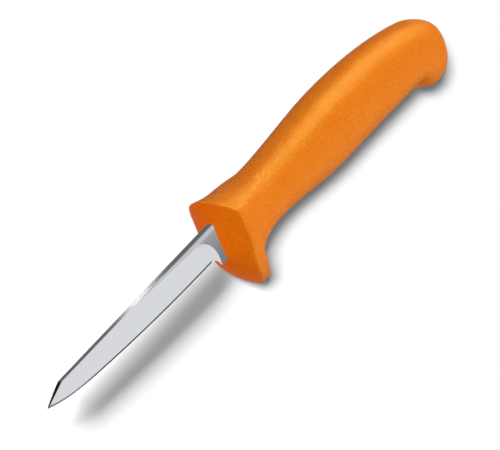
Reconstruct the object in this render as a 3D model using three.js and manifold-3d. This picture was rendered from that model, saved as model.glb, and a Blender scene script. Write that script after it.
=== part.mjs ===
import * as THREE from "three";
import Module from "manifold-3d";

const wasm = await Module();
wasm.setup();

// Small poultry knife, lying on its side. Sizes are in millimetres.
// x runs from the blade's tip to the butt, with 0 where the blade leaves the guard.
// y runs from the cutting edge to the spine, with 0 on the spine. z is across the thickness.

// Blade, from the guard to the tip
const BLADE_LENGTH = 80;
const BLADE_THICKNESS = 1.9;
const SPINE_THICKNESS_AT_TIP = 1.3;
const THICKNESS_BEHIND_EDGE = 0.3;
const HEEL_HEIGHT = 9.2;
const HEEL_SETBACK = 5;
const HEEL_CURVE_SETBACK = 2.6;
const BELLY_LENGTH = 20;
const BELLY_HEIGHT = 6.9;
const BELLY_LEAD = 0.36;
const CLIP_LENGTH = 7.6;
const TIP_DROP = 3.1;
const EDGE_LAND = 0.04;
const EDGE_HALF_ANGLE = THREE.MathUtils.degToRad(18);

// Unground root of the blade, and the wheel's run-out in front of the guard
const ROOT_HEIGHT = 12.2;
const ROOT_SETBACK = 1.6;
const PLUNGE_SETBACK = 2.1;
const PLUNGE_RADIUS = 9.4;
const PLUNGE_STEP = 1.4;
const PLUNGE_STRIP_LENGTH = 28;
const PLUNGE_SLOPE = 0.2;

// Tang hidden in the handle
const ROOT_DEPTH = 9;
const TANG_LENGTH = 76;
const TANG_HEIGHT = 8.4;
const TANG_DROP = 1.4;
const TANG_HOLE_DIAMETER = 5;
const TANG_HOLE_COUNT = 3;
const TANG_HOLE_FROM_END = 9;
const TANG_HOLE_PITCH = 21;

// Guard at the front of the handle
const GUARD_TOP = 7.4;
const GUARD_BOTTOM = 25.9;
const GUARD_WIDTH = 17.8;
const GUARD_CROWN = 4.7;
const GUARD_BOW = 3.4;
const GUARD_SWEEP = 9.2;
const GUARD_SWEEP_START = 8.4;
const GUARD_EDGE_RADIUS = 1.1;
const GUARD_BLEND_LENGTH = 17;
const LIP_THICKNESS = 5.9;
const LIP_RADIUS = 0.9;

// Handle behind the guard
const HANDLE_LENGTH = 117.2;
const NECK_FROM_GUARD = 22.7;
const NECK_TOP = 3.3;
const NECK_BOTTOM = 14.0;
const NECK_WIDTH = 15;
const SWELL_FROM_GUARD = 61.4;
const SWELL_TOP = 5.3;
const SWELL_WIDTH = 16.4;
const BELLY_LOW_FROM_GUARD = 56.4;
const HANDLE_AXIS = 6.2;

// Rounded butt with its hook
const BUTT_AXIS = 12;
const BUTT_CROWN_LENGTH = 17.6;
const BUTT_CROWN_HEIGHT = 12.9;
const BUTT_BLEND_LENGTH = 11.8;
const BUTT_WIDTH = 15.8;
const BUTT_DOME_LENGTH = 10.6;
const HOOK_RADIUS = 9.4;
const HOOK_DEPTH = 10.1;
const NOTCH_FROM_BUTT = 17.6;

// Roundness of the handle's sections: 2 is an ellipse, more is squarer
const GUARD_UPPER_POWER = 11;
const GUARD_LOWER_POWER = 1.75;
const HANDLE_UPPER_POWER = 2.5;
const HANDLE_LOWER_POWER = 2.25;

// Inner moulding
const SKIN_THICKNESS = 3;
const CORE_FROM_GUARD = 13;
const CORE_FROM_BUTT = 13;
const COLLAR_COUNT = 5;
const COLLAR_LENGTH = 4;
const COLLAR_HEIGHT = 0.9;

// Clearance between neighbouring pieces, and how far cutters run past a surface
const FIT_GAP = 0.3;
const CUT_MARGIN = 3;

// Facets. A section's points are two more than a multiple of four: the sides get a flat facet to lie on
const SECTION_POINTS = 34;
const CORE_SECTION_POINTS = 26;
const CURVE_STEPS = 8;
const FACE_RINGS = 5;
const WELD_STEP = 1e-5;

// Finishes
const STEEL_COLOUR = "#c9cbce";
const STEEL_ROUGHNESS = 0.32;
const CORE_COLOUR = "#4a4d50";
const CORE_ROUGHNESS = 0.6;
const GRIP_COLOUR = "#e8791a";
const GRIP_ROUGHNESS = 0.55;

const lerp = THREE.MathUtils.lerp;
const clamp = THREE.MathUtils.clamp;

function ease(from, to, share) {
  const t = clamp(share, 0, 1);
  return lerp(from, to, t * t * (3 - 2 * t));
}

function steps(count, make) {
  return Array.from({ length: count + 1 }, (_, i) => make(i / count));
}

// Closed skin over rings of equal point counts, with a flat or domed end at each side
function skin(rings, startPoint, endPoint) {
  const size = rings[0].length;
  const points = [startPoint, ...rings.flat(), endPoint];
  const last = points.length - 1;
  const index = [];
  for (let i = 0; i < size; i += 1) {
    const j = (i + 1) % size;
    index.push(0, 1 + j, 1 + i);
    for (let ring = 0; ring < rings.length - 1; ring += 1) {
      const near = 1 + ring * size;
      const far = near + size;
      index.push(near + i, near + j, far + j, near + i, far + j, far + i);
    }
    index.push(last, last - size + i, last - size + j);
  }
  const geometry = new THREE.BufferGeometry();
  geometry.setAttribute("position", new THREE.Float32BufferAttribute(points.flatMap((p) => p.toArray()), 3));
  geometry.setIndex(index);
  return geometry;
}

function middleOf(ring) {
  const sum = ring.reduce((total, point) => total.add(point), new THREE.Vector3());
  return sum.divideScalar(ring.length);
}

function flatEnded(rings) {
  return skin(rings, middleOf(rings[0]), middleOf(rings[rings.length - 1]));
}

function plate(shape, thickness) {
  const geometry = new THREE.ExtrudeGeometry(shape, {
    depth: thickness,
    bevelEnabled: false,
    curveSegments: CURVE_STEPS,
  });
  return geometry.translate(0, 0, -thickness / 2);
}

function signedVolume(positions, index) {
  const corner = [0, 1, 2].map(() => new THREE.Vector3());
  let total = 0;
  for (let i = 0; i < index.length; i += 3) {
    corner.forEach((c, k) => c.fromArray(positions, index[i + k] * 3));
    total += corner[0].dot(corner[1].clone().cross(corner[2]));
  }
  return total;
}

// Manifold solid from a closed geometry, with its faces turned outward
function solid(geometry) {
  const source = geometry.getAttribute("position").array;
  const keys = new Map();
  const positions = [];
  const slot = Array.from({ length: source.length / 3 }, (_, i) => {
    const xyz = [0, 1, 2].map((axis) => source[i * 3 + axis]);
    const key = xyz.map((value) => Math.round(value / WELD_STEP)).join(",");
    if (!keys.has(key)) {
      keys.set(key, positions.length / 3);
      positions.push(...xyz);
    }
    return keys.get(key);
  });
  const order = geometry.index ? Array.from(geometry.index.array) : slot.map((_, i) => i);
  const index = order.map((i) => slot[i]);
  if (signedVolume(positions, index) < 0) {
    index.reverse();
  }
  const mesh = new wasm.Mesh({
    numProp: 3,
    vertProperties: new Float32Array(positions),
    triVerts: new Uint32Array(index),
  });
  mesh.merge();
  return new wasm.Manifold(mesh);
}

function join(solids) {
  return solids.reduce((whole, next) => whole.add(next));
}

function pieceOf(name, manifold, finish) {
  const mesh = manifold.getMesh();
  const flat = new THREE.BufferGeometry();
  flat.setAttribute("position", new THREE.BufferAttribute(new Float32Array(mesh.vertProperties), 3));
  flat.setIndex(new THREE.BufferAttribute(new Uint32Array(mesh.triVerts), 1));
  flat.computeVertexNormals();
  const piece = new THREE.Mesh(flat, finish);
  piece.name = name;
  return piece;
}

// Blade

// Cutting edge from the tip back to the heel: a curved belly, then a shallow parabola that is level
// at the heel, so its slope at the belly is twice its mean slope
function edgePoints() {
  const tip = new THREE.Vector2(-BLADE_LENGTH, -TIP_DROP);
  const belly = new THREE.Vector2(BELLY_LENGTH - BLADE_LENGTH, -BELLY_HEIGHT);
  const heel = new THREE.Vector2(-HEEL_SETBACK, -HEEL_HEIGHT);
  const slope = 2 * (HEEL_HEIGHT - BELLY_HEIGHT) / (heel.x - belly.x);
  const bellyLead = new THREE.Vector2(BELLY_LEAD * BELLY_LENGTH - BLADE_LENGTH, 0);
  bellyLead.y = belly.y + slope * (belly.x - bellyLead.x);
  const heelLead = new THREE.Vector2((belly.x + heel.x) / 2, 0);
  heelLead.y = belly.y - slope * (heelLead.x - belly.x);
  const front = new THREE.QuadraticBezierCurve(tip, bellyLead, belly).getPoints(CURVE_STEPS);
  const back = new THREE.QuadraticBezierCurve(belly, heelLead, heel).getPoints(CURVE_STEPS);
  return [...front, ...back.slice(1)];
}

function bladeShape() {
  const edge = edgePoints();
  const shape = new THREE.Shape();
  shape.moveTo(FIT_GAP, 0);
  shape.lineTo(CLIP_LENGTH - BLADE_LENGTH, 0);
  edge.forEach((point) => shape.lineTo(point.x, point.y));
  shape.quadraticCurveTo(-HEEL_CURVE_SETBACK, -HEEL_HEIGHT, -ROOT_SETBACK, -ROOT_HEIGHT);
  shape.lineTo(FIT_GAP, -ROOT_HEIGHT);
  shape.closePath();
  return shape;
}

// Root and tang as one bar, grown all round by a clearance
function tangShape(grow, front) {
  const top = -TANG_DROP + grow;
  const bottom = -TANG_DROP - TANG_HEIGHT - grow;
  const radius = (top - bottom) / 2;
  const shape = new THREE.Shape();
  shape.moveTo(front, grow);
  shape.lineTo(ROOT_DEPTH + grow, grow);
  shape.lineTo(ROOT_DEPTH + TANG_DROP + grow, top);
  const roundFrom = TANG_LENGTH + grow - radius;
  shape.lineTo(roundFrom, top);
  shape.absarc(roundFrom, top - radius, radius, Math.PI / 2, -Math.PI / 2, true);
  shape.lineTo(ROOT_DEPTH + ROOT_HEIGHT - TANG_DROP - TANG_HEIGHT + grow, bottom);
  shape.lineTo(ROOT_DEPTH + grow, -ROOT_HEIGHT - grow);
  shape.lineTo(front, -ROOT_HEIGHT - grow);
  shape.closePath();
  return shape;
}

function tangPegs(diameter, length) {
  const pegs = steps(TANG_HOLE_COUNT - 1, (share) => {
    const fromEnd = TANG_HOLE_FROM_END + share * (TANG_HOLE_COUNT - 1) * TANG_HOLE_PITCH;
    const peg = new THREE.CylinderGeometry(diameter / 2, diameter / 2, length, 2 * CURVE_STEPS);
    peg.rotateX(Math.PI / 2);
    return solid(peg.translate(TANG_LENGTH - fromEnd, -TANG_DROP - TANG_HEIGHT / 2, 0));
  });
  return join(pegs);
}

// Outline of the space the grinding wheel clears, widened by its slope as it leaves the steel
function plungeRing(widen, height) {
  const centre = new THREE.Vector2(-PLUNGE_SETBACK - PLUNGE_RADIUS, -PLUNGE_STEP - PLUNGE_RADIUS);
  const radius = PLUNGE_RADIUS + widen;
  const far = -BLADE_LENGTH - CUT_MARGIN;
  const rise = PLUNGE_STEP / PLUNGE_STRIP_LENGTH;
  const low = -ROOT_HEIGHT - CUT_MARGIN;
  const arc = steps(2 * CURVE_STEPS, (share) => {
    const angle = share * Math.PI / 2;
    return new THREE.Vector2(Math.cos(angle), Math.sin(angle)).multiplyScalar(radius).add(centre);
  });
  const crest = arc[arc.length - 1];
  const outline = [
    new THREE.Vector2(centre.x + radius, low),
    ...arc,
    new THREE.Vector2(far, crest.y + rise * (crest.x - far)),
    new THREE.Vector2(far, low),
  ];
  return outline.map((point) => new THREE.Vector3(point.x, point.y, height));
}

// Flat ground side: a plane from the spine to just behind the edge, thinner toward the tip
function grindCutter() {
  const half = BLADE_THICKNESS / 2;
  const alongX = (half - SPINE_THICKNESS_AT_TIP / 2) / BLADE_LENGTH;
  const atHeel = half - alongX * HEEL_SETBACK;
  const alongY = (atHeel - THICKNESS_BEHIND_EDGE / 2) / HEEL_HEIGHT;
  const rings = [
    plungeRing(0, 0),
    plungeRing(BLADE_THICKNESS / PLUNGE_SLOPE, BLADE_THICKNESS),
  ];
  const lean = new THREE.Matrix4().set(1, 0, 0, 0, 0, 1, 0, 0, alongX, alongY, 1, half, 0, 0, 0, 1);
  return flatEnded(rings).applyMatrix4(lean);
}

// Sharpened bevel that follows the cutting edge
function bevelCutter() {
  const edge = edgePoints();
  const slope = Math.tan(EDGE_HALF_ANGLE);
  const first = edge[0].clone().sub(edge[1]).normalize().add(edge[0]);
  const line = [first, ...edge];
  const rings = line.map((point, i) => {
    const from = line[Math.max(i - 1, 0)];
    const to = line[Math.min(i + 1, line.length - 1)];
    const along = to.clone().sub(from).normalize();
    const out = new THREE.Vector2(along.y, -along.x);
    const at = (reach, height) => {
      const place = point.clone().addScaledVector(out, reach);
      return new THREE.Vector3(place.x, place.y, height);
    };
    const top = EDGE_LAND / 2 + BLADE_THICKNESS * slope;
    return [at(FIT_GAP, EDGE_LAND / 2 - FIT_GAP * slope), at(-BLADE_THICKNESS, top), at(FIT_GAP, top)];
  });
  return flatEnded(rings);
}

function mirrored(geometry) {
  return geometry.clone().scale(1, 1, -1);
}

function buildBlade() {
  const blank = solid(plate(bladeShape(), BLADE_THICKNESS))
    .add(solid(plate(tangShape(0, -ROOT_SETBACK), BLADE_THICKNESS)))
    .subtract(tangPegs(TANG_HOLE_DIAMETER, BLADE_THICKNESS + CUT_MARGIN));
  const cutters = [grindCutter(), bevelCutter()];
  return cutters.reduce((steel, cutter) => {
    return steel.subtract(solid(cutter)).subtract(solid(mirrored(cutter)));
  }, blank);
}

// Handle

const NOTCH_X = HANDLE_LENGTH - NOTCH_FROM_BUTT;
const HOOK_X = HANDLE_LENGTH - HOOK_RADIUS;

function crown(x) {
  const share = clamp((x - HANDLE_LENGTH + BUTT_CROWN_LENGTH) / BUTT_CROWN_LENGTH, 0, 1);
  return BUTT_CROWN_HEIGHT * Math.sqrt(1 - share * share) - BUTT_AXIS;
}

// Spine line of the handle: guard, neck, swell, then down to the rounded butt
function topAt(x) {
  const blend = HANDLE_LENGTH - BUTT_BLEND_LENGTH;
  if (x <= NECK_FROM_GUARD) {
    return lerp(NECK_TOP, GUARD_TOP, (1 - x / NECK_FROM_GUARD) ** 2);
  }
  if (x <= SWELL_FROM_GUARD) {
    return ease(NECK_TOP, SWELL_TOP, (x - NECK_FROM_GUARD) / (SWELL_FROM_GUARD - NECK_FROM_GUARD));
  }
  if (x >= blend) {
    return crown(x);
  }
  const run = blend - SWELL_FROM_GUARD;
  const t = (x - SWELL_FROM_GUARD) / run;
  const slope = (crown(blend + FIT_GAP) - crown(blend)) / FIT_GAP;
  return ease(SWELL_TOP, crown(blend), t) + (t * t * t - t * t) * slope * run;
}

function hookAt(x) {
  const across = clamp((x - HOOK_X) / HOOK_RADIUS, -1, 1);
  return -BUTT_AXIS - HOOK_DEPTH * Math.sqrt(1 - across * across);
}

// Underside behind the finger lip: a gently falling belly, a notch, then the hook
function bellyAt(x) {
  if (x >= NOTCH_X) {
    return hookAt(x);
  }
  const share = (x - NECK_FROM_GUARD) / (BELLY_LOW_FROM_GUARD - NECK_FROM_GUARD);
  return ease(-NECK_BOTTOM, hookAt(NOTCH_X), share);
}

function halfWidthAt(x) {
  const domeFrom = HANDLE_LENGTH - BUTT_DOME_LENGTH;
  if (x <= NECK_FROM_GUARD) {
    return ease(GUARD_WIDTH, NECK_WIDTH, x / NECK_FROM_GUARD) / 2;
  }
  if (x <= SWELL_FROM_GUARD) {
    return ease(NECK_WIDTH, SWELL_WIDTH, (x - NECK_FROM_GUARD) / (SWELL_FROM_GUARD - NECK_FROM_GUARD)) / 2;
  }
  const straight = ease(SWELL_WIDTH, BUTT_WIDTH, (x - SWELL_FROM_GUARD) / (domeFrom - SWELL_FROM_GUARD)) / 2;
  const share = clamp((x - domeFrom) / BUTT_DOME_LENGTH, 0, 1);
  return straight * Math.sqrt(1 - share * share);
}

// Section at one place along the handle, with a given underside
function sectionAt(x, bottom) {
  const toNeck = x / NECK_FROM_GUARD;
  const toButt = (x - SWELL_FROM_GUARD) / (HANDLE_LENGTH - SWELL_FROM_GUARD);
  return {
    x,
    bottom,
    top: topAt(x),
    half: halfWidthAt(x),
    axis: ease(-HANDLE_AXIS, -BUTT_AXIS, toButt),
    crown: ease(GUARD_CROWN, 0, toNeck),
    upper: ease(GUARD_UPPER_POWER, HANDLE_UPPER_POWER, toNeck),
    lower: ease(GUARD_LOWER_POWER, HANDLE_LOWER_POWER, toNeck),
  };
}

function inset(section, depth) {
  return {
    ...section,
    top: section.top - depth,
    bottom: section.bottom + depth,
    half: section.half - depth,
  };
}

function shrunk(section, share) {
  return {
    ...section,
    top: lerp(section.axis, section.top, share),
    bottom: lerp(section.axis, section.bottom, share),
    half: section.half * share,
  };
}

// How far the guard's front lies behind its middle: bowed to both sides, swept back to the lip
function sweepAt(x, y, z) {
  const across = 2 * z / GUARD_WIDTH;
  const down = Math.max(0, -y - GUARD_SWEEP_START) / (GUARD_BOTTOM - GUARD_SWEEP_START);
  const fade = ease(1, 0, x / GUARD_BLEND_LENGTH);
  return fade * (GUARD_BOW * across * across + GUARD_SWEEP * down * down);
}

// Points of a section, half a step round, so that corners fall at its top and bottom
function ringOf(section, count) {
  const ring = steps(count, (share) => {
    const angle = (2 * share + 1 / count) * Math.PI;
    const up = Math.sin(angle);
    const side = Math.cos(angle);
    const power = 2 / (up >= 0 ? section.upper : section.lower);
    const across = Math.sign(side) * Math.abs(side) ** power;
    const above = section.top - section.axis - section.crown * across * across;
    const reach = up >= 0 ? above : section.axis - section.bottom;
    const y = section.axis + Math.sign(up) * reach * Math.abs(up) ** power;
    const z = section.half * across;
    return new THREE.Vector3(section.x + sweepAt(section.x, y, z), y, z);
  });
  return ring.slice(0, -1);
}

// Bowed front of the guard and its rounded edge
function guardSections() {
  const rim = sectionAt(0, -GUARD_BOTTOM);
  const face = inset(rim, GUARD_EDGE_RADIUS);
  const inner = steps(FACE_RINGS, (share) => shrunk(face, share)).slice(1, -1);
  const edge = steps(CURVE_STEPS / 2, (share) => {
    const turn = share * Math.PI / 2;
    const back = GUARD_EDGE_RADIUS * (1 - Math.cos(turn));
    return inset(sectionAt(back, -GUARD_BOTTOM), GUARD_EDGE_RADIUS * (1 - Math.sin(turn)));
  });
  return [...inner, ...edge];
}

// Finger lip, rounded underneath, and the hollow that runs from it into the neck
function lipSections() {
  const roundFrom = LIP_THICKNESS - LIP_RADIUS;
  const under = steps(CURVE_STEPS / 2, (share) => {
    const turn = share * Math.PI / 2;
    const x = roundFrom + LIP_RADIUS * Math.sin(turn);
    return sectionAt(x, -GUARD_BOTTOM + LIP_RADIUS * (1 - Math.cos(turn)));
  });
  const hollow = steps(2 * CURVE_STEPS, (share) => {
    const turn = share * Math.PI / 2;
    const x = NECK_FROM_GUARD - (NECK_FROM_GUARD - LIP_THICKNESS) * Math.cos(turn);
    return sectionAt(x, lerp(LIP_RADIUS - GUARD_BOTTOM, -NECK_BOTTOM, Math.sin(turn)));
  });
  return [...under, ...hollow.slice(1)];
}

function handleSections() {
  const body = steps(2 * CURVE_STEPS, (share) => lerp(NECK_FROM_GUARD, NOTCH_X, share));
  const notchTurn = Math.asin((NOTCH_X - HOOK_X) / HOOK_RADIUS);
  const hook = steps(2 * CURVE_STEPS, (share) => {
    return HOOK_X + HOOK_RADIUS * Math.sin(lerp(notchTurn, Math.PI / 2, share));
  });
  const places = [...body.slice(1), ...hook.slice(1, -1)];
  return places.map((x) => sectionAt(x, bellyAt(x)));
}

function buildGripOutside() {
  const sections = [...guardSections(), ...lipSections(), ...handleSections()];
  const rings = sections.map((section) => ringOf(section, SECTION_POINTS));
  const nose = new THREE.Vector3(0, -HANDLE_AXIS, 0);
  const butt = new THREE.Vector3(HANDLE_LENGTH, -BUTT_AXIS, 0);
  return solid(skin(rings, nose, butt));
}

// Inner moulding with collars that key it in the skin, grown by a clearance for its cavity
function coreBody(grow) {
  const front = CORE_FROM_GUARD;
  const back = HANDLE_LENGTH - CORE_FROM_BUTT;
  const pitch = (back - front) / COLLAR_COUNT;
  const places = [[front - grow, 0]];
  for (let i = 0; i < COLLAR_COUNT; i += 1) {
    const start = front + i * pitch + (pitch - COLLAR_LENGTH) / 2 - grow;
    const end = start + COLLAR_LENGTH + 2 * grow;
    const before = places[places.length - 1][0];
    places.push([(before + start) / 2, 0], [start, 0]);
    places.push([start, COLLAR_HEIGHT], [end, COLLAR_HEIGHT], [end, 0]);
  }
  places.push([back + grow, 0]);
  const rings = places.map(([x, collar]) => {
    const underside = bellyAt(Math.min(Math.max(x, NECK_FROM_GUARD), NOTCH_X));
    const section = inset(sectionAt(x, underside), SKIN_THICKNESS - grow - collar);
    const ring = ringOf({ ...section, lower: HANDLE_LOWER_POWER }, CORE_SECTION_POINTS);
    return ring.map((point) => point.setX(x));
  });
  return solid(flatEnded(rings));
}

function tangSpace() {
  return solid(plate(tangShape(FIT_GAP, -BLADE_LENGTH), BLADE_THICKNESS + 2 * FIT_GAP));
}

function buildCore() {
  const pegs = tangPegs(TANG_HOLE_DIAMETER - 2 * FIT_GAP, BLADE_THICKNESS + CUT_MARGIN);
  return coreBody(0).subtract(tangSpace()).add(pegs);
}

function buildGrip() {
  return buildGripOutside().subtract(coreBody(FIT_GAP)).subtract(tangSpace());
}

function finishOf(color, metalness, roughness) {
  return new THREE.MeshStandardMaterial({ color, metalness, roughness });
}

const steel = finishOf(STEEL_COLOUR, 1, STEEL_ROUGHNESS);
const stiffPlastic = finishOf(CORE_COLOUR, 0, CORE_ROUGHNESS);
const gripPlastic = finishOf(GRIP_COLOUR, 0, GRIP_ROUGHNESS);

const knife = new THREE.Group();
knife.name = "knife";
knife.add(pieceOf("blade", buildBlade(), steel));
knife.add(pieceOf("handle_core", buildCore(), stiffPlastic));
knife.add(pieceOf("grip", buildGrip(), gripPlastic));

// The part's frame: origin under the middle of the knife as it lies on its side
const box = new THREE.Box3().setFromObject(knife, true);
const middle = box.getCenter(new THREE.Vector3());
knife.position.set(-middle.x, -middle.y, -box.min.z);

const part = new THREE.Group();
part.name = "poultry_knife";
part.add(knife);

export default part;
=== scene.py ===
"""Small poultry knife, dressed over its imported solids.

The pieces are worked out in millimetres along the knife: x runs from the tip to the butt, with 0
where the blade leaves the guard, y runs up from the cutting edge, with 0 on the spine, and z is
across the thickness. Their place in the frame is added last, in metres.
"""

import logging
import math
from dataclasses import dataclass, replace
from enum import Enum
from functools import partialmethod
from typing import Any

import bpy
import numpy as np
from bpy.types import Light, Material, Mesh, Node, NodeSocket, NodeTree, Object
from mathutils import Euler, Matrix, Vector


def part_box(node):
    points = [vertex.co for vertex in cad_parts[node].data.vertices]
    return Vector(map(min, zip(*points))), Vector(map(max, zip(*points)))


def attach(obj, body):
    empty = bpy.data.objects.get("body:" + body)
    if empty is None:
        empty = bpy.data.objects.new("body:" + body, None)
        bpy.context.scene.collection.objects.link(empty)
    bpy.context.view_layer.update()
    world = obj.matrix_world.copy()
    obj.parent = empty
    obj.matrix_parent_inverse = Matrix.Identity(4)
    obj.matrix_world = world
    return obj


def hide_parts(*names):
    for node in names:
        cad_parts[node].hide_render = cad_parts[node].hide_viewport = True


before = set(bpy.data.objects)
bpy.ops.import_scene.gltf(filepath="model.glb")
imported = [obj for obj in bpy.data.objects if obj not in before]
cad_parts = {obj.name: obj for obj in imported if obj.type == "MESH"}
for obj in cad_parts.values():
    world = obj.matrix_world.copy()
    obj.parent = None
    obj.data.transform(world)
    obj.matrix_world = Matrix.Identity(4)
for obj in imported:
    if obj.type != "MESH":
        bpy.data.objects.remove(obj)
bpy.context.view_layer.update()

MM = 0.001
NOISE_MIDDLE = 0.5
ROOT_BODY = "root"
SOCKET_KINDS = {
    int: "NodeSocketInt",
    float: "NodeSocketFloat",
    tuple: "NodeSocketVector",
    Material: "NodeSocketMaterial",
}

log = logging.getLogger("poultry_knife")


class Solid(Enum):
    """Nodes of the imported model."""

    BLADE = "blade"
    CORE = "handle_core"
    GRIP = "grip"


class Slot(Enum):
    """Material slots of the record. No piece here is given one."""

    STEEL = "blade_steel"
    GRIP = "grip_plastic"


class Mark(Enum):
    """Values on the blade's mesh that its material reads, among them painted shade, a painted highlight
    and painted dark reflections.
    """

    GROUND = "ground"
    POLISH = "polished"
    # Painted shade on the root, darker towards the bottom, with a painted highlight band under the
    # spine.
    PAINTED_SHADE_AND_HIGHLIGHT = "shade"
    # Painted dark reflections on the edge's bevel and the clipped tip.
    PAINTED_DARK_REFLECTION = "narrow"


class Group(Enum):
    """What a lamp shines on, or whose shadow it throws."""

    KNIFE = "knife"
    BLADE = "blade"
    GRIP = "grip"
    FLOOR = "floor"


def linear(colour: str) -> tuple[float, float, float, float]:
    """Turns an sRGB hex colour into linear light.

    Args:
        colour: Six hex digits after a hash sign.

    Returns:
        Red, green, blue and an alpha of one.
    """
    # The numbers are those of the sRGB standard.
    shares = [int(colour[i : i + 2], 16) / 255 for i in (1, 3, 5)]
    light = [s / 12.92 if s <= 0.04045 else ((s + 0.055) / 1.055) ** 2.4 for s in shares]
    return (*light, 1.0)


def add_node(
    tree: NodeTree, kind: str, inputs: dict[Any, Any] | None = None, **settings: Any
) -> Node:
    """Adds one node with its settings, values and links.

    Args:
        tree: The tree that gets the node.
        kind: Blender's name of the node's type.
        inputs: Plain values and values of the tree, by the input's name or place.
        **settings: The node's own properties.

    Returns:
        The new node.
    """
    node = tree.nodes.new(kind)
    for name, value in settings.items():
        setattr(node, name, value)
    for name, value in (inputs or {}).items():
        if isinstance(value, Value):
            tree.links.new(value.socket, node.inputs[name])
        else:
            node.inputs[name].default_value = value
    return node


def result(
    tree: NodeTree,
    kind: str,
    inputs: dict[Any, Any] | None = None,
    output: int | str = 0,
    **settings: Any,
) -> "Value":
    """Adds one node and takes one of its outputs.

    Args:
        tree: The tree that gets the node.
        kind: Blender's name of the node's type.
        inputs: Plain values and values of the tree, by the input's name or place.
        output: The output's name or place.
        **settings: The node's own properties.

    Returns:
        The output's value.
    """
    return Value(tree, add_node(tree, kind, inputs, **settings).outputs[output])


@dataclass(frozen=True)
class Value:
    """A value in a node tree, where numbers are worked with by ordinary signs."""

    tree: NodeTree
    socket: NodeSocket

    def by(self, operation: str, *others: "Value | float", first: bool = True) -> "Value":
        """Works out one step of arithmetic.

        Args:
            operation: Blender's name of the step.
            *others: The other numbers of the step.
            first: Whether this number comes before the others.

        Returns:
            The step's result.
        """
        terms = [self, *others] if first else [*others, self]
        return result(self.tree, "ShaderNodeMath", dict(enumerate(terms)), operation=operation)

    __add__ = partialmethod(by, "ADD")
    __sub__ = partialmethod(by, "SUBTRACT")
    __rsub__ = partialmethod(by, "SUBTRACT", first=False)
    __mul__ = partialmethod(by, "MULTIPLY")
    __truediv__ = partialmethod(by, "DIVIDE")
    __rtruediv__ = partialmethod(by, "DIVIDE", first=False)

    def blend(self, other: "Value", share: "Value") -> "Value":
        """Goes from this number to another by a share."""
        return self + (other - self) * share

    def swing(self, size: float) -> "Value":
        """Turns a noise into one that swings about zero."""
        return (self - NOISE_MIDDLE) * size

    def eased(self, start: float, end: float, low: float, high: float) -> "Value":
        """Goes from low to high while this number goes from start to end, with level ends."""
        steps = dict(enumerate((self, start, end, low, high)))
        return result(self.tree, "ShaderNodeMapRange", steps, interpolation_type="SMOOTHSTEP")


def ease(start: Any, end: Any, share: Any) -> Any:
    """Goes from one value to another with a level start and end.

    Args:
        start: The value at a share of 0.
        end: The value at a share of 1.
        share: How far along, held between 0 and 1.

    Returns:
        The value there.
    """
    t = np.clip(share, 0.0, 1.0)
    return start + (end - start) * t * t * (3 - 2 * t)


def soft_low(a: Any, b: Any, reach: float) -> Any:
    """Takes the lower of two values, with a rounded corner where they cross.

    Args:
        a: The first value.
        b: The second value.
        reach: How near the two are where the rounding starts.

    Returns:
        The lower value, or a little less near the crossing.
    """
    share = np.clip(0.5 + 0.5 * (b - a) / reach, 0.0, 1.0)
    return b + (a - b) * share - reach * share * (1 - share)


def arc(share: float) -> float:
    """Gives the height of a unit circle at a share of its radius."""
    held = np.clip(share, -1, 1)
    return math.sqrt(1 - held * held)


def quarter_turn(count: int) -> np.ndarray:
    """Spreads a number of angles evenly over a quarter turn."""
    return np.linspace(0, math.pi / 2, count)


def tube_faces(ring_count: int, size: int) -> list[tuple[int, ...]]:
    """Joins rings of points and a pole at each end into a closed skin.

    Args:
        ring_count: How many rings there are.
        size: Points in each ring.

    Returns:
        Faces that count the first pole, the rings in order, and the last pole.
    """
    last = 1 + ring_count * size
    faces: list[tuple[int, ...]] = []
    for i in range(size):
        j = (i + 1) % size
        faces.append((0, 1 + i, 1 + j))
        for near in range(1, last - size, size):
            faces.append((near + i, near + size + i, near + size + j, near + j))
        faces.append((last, last - size + j, last - size + i))
    return faces


def skin_mesh(name: str, points: np.ndarray, faces: list[tuple[int, ...]]) -> Mesh:
    """Makes a closed mesh.

    Args:
        name: The mesh's name.
        points: Its points, in metres.
        faces: Its faces, all turned the same way.

    Returns:
        The mesh.
    """
    mesh = bpy.data.meshes.new(name)
    mesh.from_pydata(points.tolist(), [], faces)
    mesh.update()
    return mesh


def face_outwards(mesh: Mesh) -> None:
    """Turns a closed mesh's faces outwards if its signed volume says that they point in.

    Args:
        mesh: The mesh.
    """
    mesh.calc_loop_triangles()
    points = np.empty(len(mesh.vertices) * 3)
    mesh.vertices.foreach_get("co", points)
    corners = np.empty(len(mesh.loop_triangles) * 3, np.int32)
    mesh.loop_triangles.foreach_get("vertices", corners)
    a, b, c = points.reshape(-1, 3)[corners.reshape(-1, 3)].transpose(1, 0, 2)
    if np.einsum("ij,ij->", a, np.cross(b, c)) < 0:
        mesh.flip_normals()


def shown(name: str, data: bpy.types.ID) -> Object:
    """Puts a mesh, a lamp or a camera in the scene as an object at the origin.

    Args:
        name: The object's name.
        data: The mesh, the light or the camera.

    Returns:
        The object.
    """
    thing = bpy.data.objects.new(name, data)
    bpy.context.scene.collection.objects.link(thing)
    return thing


def grown(thing: Object, tree: NodeTree, sizes: dict[str, Any]) -> None:
    """Runs a node tree on an object and keeps what it makes as the object's own mesh.

    Args:
        thing: The object with the starting mesh.
        tree: The geometry tree.
        sizes: The tree's inputs by name.
    """
    modifier = thing.modifiers.new(tree.name, "NODES")
    modifier.node_group = tree
    for item in tree.interface.items_tree:
        if item.in_out == "INPUT" and item.name in sizes:
            modifier[item.identifier] = sizes[item.name]
    start = thing.data
    made = bpy.data.meshes.new_from_object(
        thing.evaluated_get(bpy.context.evaluated_depsgraph_get()),
        preserve_all_data_layers=True,
        depsgraph=bpy.context.evaluated_depsgraph_get(),
    )
    thing.modifiers.remove(modifier)
    thing.data = made
    made.name = start.name
    bpy.data.meshes.remove(start)
    face_outwards(made)


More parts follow.
